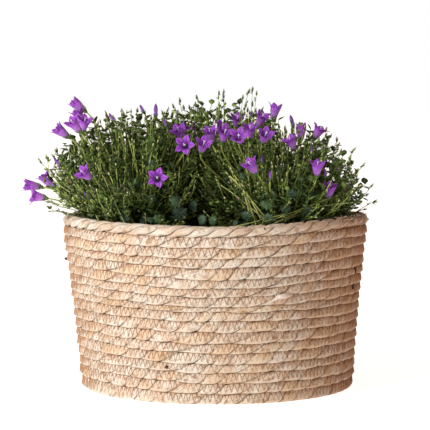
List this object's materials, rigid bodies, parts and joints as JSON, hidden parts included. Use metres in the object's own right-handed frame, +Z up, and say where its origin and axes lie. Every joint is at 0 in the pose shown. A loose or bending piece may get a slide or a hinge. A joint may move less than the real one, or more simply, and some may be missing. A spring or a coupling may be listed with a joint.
{
  "type": "potted bellflower",
  "caption": "Round coiled rope basket planted with violet bellflowers: upright stems, toothed leaves, buds and open five-lobed bells over soil in a liner.",
  "frame": {"origin": "centre of the basket's foot, on the surface it stands on", "axes": "+Z up, -Y towards the front as pictured, +X to the right in the picture"},
  "size_m": [0.3366, 0.3259, 0.284],
  "materials": {
    "rope": "dry coiled plant-fibre rope",
    "rim_rope": "dry laid plant-fibre rope",
    "liner_film": "thin plastic film",
    "soil": "damp dark potting soil",
    "leaf_green": "matt green leaves and stems",
    "petal_violet": "soft violet petals"
  },
  "bodies": {
    "root": {"basket": "rope", "bloom_back_27": "petal_violet", "bloom_back_28": "petal_violet", "bloom_back_29": "petal_violet", "bloom_back_36": "petal_violet", "bloom_back_37": "petal_violet", "bloom_back_38": "petal_violet", "bloom_back_39": "petal_violet", "bloom_back_40": "petal_violet", "bloom_back_41": "petal_violet", "bloom_left_01": "petal_violet", "bloom_left_02": "petal_violet", "bloom_left_03": "petal_violet", "bloom_left_04": "petal_violet", "bloom_left_05": "petal_violet", "bloom_left_06": "petal_violet", "bloom_left_07": "petal_violet", "bloom_left_08": "petal_violet", "bloom_left_09": "petal_violet", "bloom_left_10": "petal_violet", "bloom_left_11": "petal_violet", "bloom_left_12": "petal_violet", "bloom_left_30": "petal_violet", "bloom_left_31": "petal_violet", "bloom_left_32": "petal_violet", "bloom_right_13": "petal_violet", "bloom_right_14": "petal_violet", "bloom_right_15": "petal_violet", "bloom_right_16": "petal_violet", "bloom_right_17": "petal_violet", "bloom_right_18": "petal_violet", "bloom_right_19": "petal_violet", "bloom_right_20": "petal_violet", "bloom_right_21": "petal_violet", "bloom_right_22": "petal_violet", "bloom_right_23": "petal_violet", "bloom_right_24": "petal_violet", "bloom_right_25": "petal_violet", "bloom_right_26": "petal_violet", "bloom_right_33": "petal_violet", "bloom_right_34": "petal_violet", "bloom_right_35": "petal_violet", "liner": "liner_film", "plant_back": "leaf_green", "plant_left": "leaf_green", "plant_right": "leaf_green", "rim_rope": "rim_rope", "soil": "soil"}
  },
  "joints": []
}
